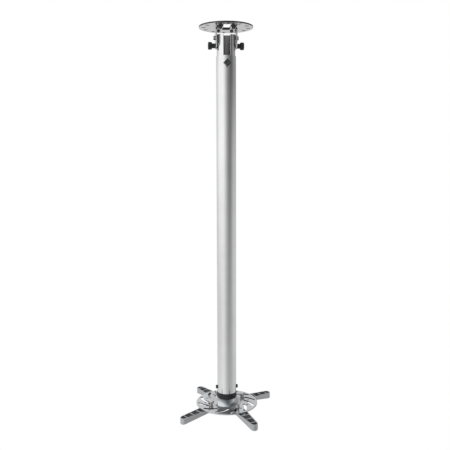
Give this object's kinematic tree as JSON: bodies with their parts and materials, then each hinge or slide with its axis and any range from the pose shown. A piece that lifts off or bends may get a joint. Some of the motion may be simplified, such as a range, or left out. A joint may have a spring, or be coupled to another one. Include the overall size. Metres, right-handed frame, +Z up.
{
  "type": "projector ceiling mount",
  "caption": "Telescopic projector ceiling mount: slotted round ceiling plate, tilting yoke, nested tubes, ball joint and a spiral-slotted disc with swinging cast arms.",
  "frame": {"origin": "centre of the ceiling plate's upper face, which lies on the ceiling", "axes": "+Z up into the ceiling, X along the pivot bolts, -Y the side with the tube's slot and clamp screw"},
  "size_m": [0.2281, 0.2385, 0.8892],
  "materials": {
    "silver_paint": "satin silver paint",
    "satin_aluminium": "satin anodised",
    "cast_silver": "silver lacquered",
    "black_plastic": "matte black",
    "zinc_steel": "zinc plated",
    "dark_steel": "black zinc",
    "plug_aluminium": "machined"
  },
  "bodies": {
    "ceiling": {"ceiling_plate": "silver_paint", "yoke": "silver_paint", "yoke_screws": "zinc_steel", "yoke_nuts": "zinc_steel", "pivot_washers": "zinc_steel"},
    "inner_column": {"inner_tube": "satin_aluminium", "pivot_bolt": "zinc_steel", "pivot_nut": "zinc_steel", "weld_nuts": "zinc_steel"},
    "left_knob": {"left_knob": "black_plastic", "left_knob_stud": "zinc_steel"},
    "right_knob": {"right_knob": "black_plastic", "right_knob_stud": "zinc_steel"},
    "outer_column": {"outer_tube": "satin_aluminium", "clamp_boss": "zinc_steel", "clamp_plate": "zinc_steel", "tube_plug": "plug_aluminium", "plug_bolts": "zinc_steel", "ball_bolt": "zinc_steel", "ball_washer": "zinc_steel", "spring_washer": "zinc_steel", "ball_nut": "zinc_steel"},
    "height_screw": {"clamp_screw": "dark_steel"},
    "collar": {"friction_collar": "black_plastic"},
    "cup": {"clamp_cup": "zinc_steel"},
    "head": {"ball_dome": "cast_silver", "spider_disc": "cast_silver", "dome_screws": "zinc_steel"},
    "arm_slide_right_rear": {"arm_bolt_right_rear": "zinc_steel", "arm_washer_right_rear": "zinc_steel"},
    "arm_right_rear": {"arm_right_rear": "cast_silver"},
    "wing_nut_right_rear": {"wing_nut_right_rear": "zinc_steel"},
    "arm_slide_left_rear": {"arm_bolt_left_rear": "zinc_steel", "arm_washer_left_rear": "zinc_steel"},
    "arm_left_rear": {"arm_left_rear": "cast_silver"},
    "wing_nut_left_rear": {"wing_nut_left_rear": "zinc_steel"},
    "arm_slide_left_front": {"arm_bolt_left_front": "zinc_steel", "arm_washer_left_front": "zinc_steel"},
    "arm_left_front": {"arm_left_front": "cast_silver"},
    "wing_nut_left_front": {"wing_nut_left_front": "zinc_steel"},
    "arm_slide_right_front": {"arm_bolt_right_front": "zinc_steel", "arm_washer_right_front": "zinc_steel"},
    "arm_right_front": {"arm_right_front": "cast_silver"},
    "wing_nut_right_front": {"wing_nut_right_front": "zinc_steel"}
  },
  "joints": [
    {"name": "pole_tilt", "type": "hinge", "parent": "ceiling", "child": "inner_column", "pos_m": [0, 0, -0.025], "axis": [1, 0, 0], "range_deg": [-30, 30]},
    {"name": "left_knob_turn", "type": "hinge", "parent": "inner_column", "child": "left_knob", "pos_m": [-0.03, 0, -0.0423], "axis": [-1, 0, 0], "continuous": true},
    {"name": "right_knob_turn", "type": "hinge", "parent": "inner_column", "child": "right_knob", "pos_m": [0.03, 0, -0.0423], "axis": [1, 0, 0], "continuous": true},
    {"name": "height_slide", "type": "slide", "parent": "inner_column", "child": "outer_column", "axis": [0, 0, -1], "range_m": [0, 0.2]},
    {"name": "clamp_screw_turn", "type": "hinge", "parent": "outer_column", "child": "height_screw", "pos_m": [0, -0.028, -0.0826], "axis": [0, -1, 0], "continuous": true},
    {"name": "head_swivel", "type": "hinge", "parent": "outer_column", "child": "collar", "pos_m": [0, 0, -0.8845], "axis": [0, 0, 1], "continuous": true},
    {"name": "head_tilt", "type": "hinge", "parent": "collar", "child": "cup", "pos_m": [0, 0, -0.8845], "axis": [1, 0, 0], "range_deg": [-11, 11]},
    {"name": "head_roll", "type": "hinge", "parent": "cup", "child": "head", "pos_m": [0, 0, -0.8845], "axis": [0, 1, 0], "range_deg": [-11, 11]},
    {"name": "arm_reach_right_rear", "type": "hinge", "parent": "head", "child": "arm_slide_right_rear", "pos_m": [0.02826, -0.02249, -0.87125], "axis": [0, 0, 1], "range_deg": [-41.3, 1.28]},
    {"name": "arm_swing_right_rear", "type": "hinge", "parent": "arm_slide_right_rear", "child": "arm_right_rear", "pos_m": [0.03946, 0.02109, -0.87125], "axis": [0, 0, 1], "range_deg": [-40, 40]},
    {"name": "wing_nut_turn_right_rear", "type": "hinge", "parent": "arm_slide_right_rear", "child": "wing_nut_right_rear", "pos_m": [0.03946, 0.02109, -0.86325], "axis": [0, 0, 1], "continuous": true},
    {"name": "arm_reach_left_rear", "type": "hinge", "parent": "head", "child": "arm_slide_left_rear", "pos_m": [0.02249, 0.02826, -0.87125], "axis": [0, 0, 1], "range_deg": [-41.3, 1.28]},
    {"name": "arm_swing_left_rear", "type": "hinge", "parent": "arm_slide_left_rear", "child": "arm_left_rear", "pos_m": [-0.02109, 0.03946, -0.87125], "axis": [0, 0, 1], "range_deg": [-40, 40]},
    {"name": "wing_nut_turn_left_rear", "type": "hinge", "parent": "arm_slide_left_rear", "child": "wing_nut_left_rear", "pos_m": [-0.02109, 0.03946, -0.86325], "axis": [0, 0, 1], "continuous": true},
    {"name": "arm_reach_left_front", "type": "hinge", "parent": "head", "child": "arm_slide_left_front", "pos_m": [-0.02826, 0.02249, -0.87125], "axis": [0, 0, 1], "range_deg": [-41.3, 1.28]},
    {"name": "arm_swing_left_front", "type": "hinge", "parent": "arm_slide_left_front", "child": "arm_left_front", "pos_m": [-0.03946, -0.02109, -0.87125], "axis": [0, 0, 1], "range_deg": [-40, 40]},
    {"name": "wing_nut_turn_left_front", "type": "hinge", "parent": "arm_slide_left_front", "child": "wing_nut_left_front", "pos_m": [-0.03946, -0.02109, -0.86325], "axis": [0, 0, 1], "continuous": true},
    {"name": "arm_reach_right_front", "type": "hinge", "parent": "head", "child": "arm_slide_right_front", "pos_m": [-0.02249, -0.02826, -0.87125], "axis": [0, 0, 1], "range_deg": [-41.3, 1.28]},
    {"name": "arm_swing_right_front", "type": "hinge", "parent": "arm_slide_right_front", "child": "arm_right_front", "pos_m": [0.02109, -0.03946, -0.87125], "axis": [0, 0, 1], "range_deg": [-40, 40]},
    {"name": "wing_nut_turn_right_front", "type": "hinge", "parent": "arm_slide_right_front", "child": "wing_nut_right_front", "pos_m": [0.02109, -0.03946, -0.86325], "axis": [0, 0, 1], "continuous": true}
  ]
}
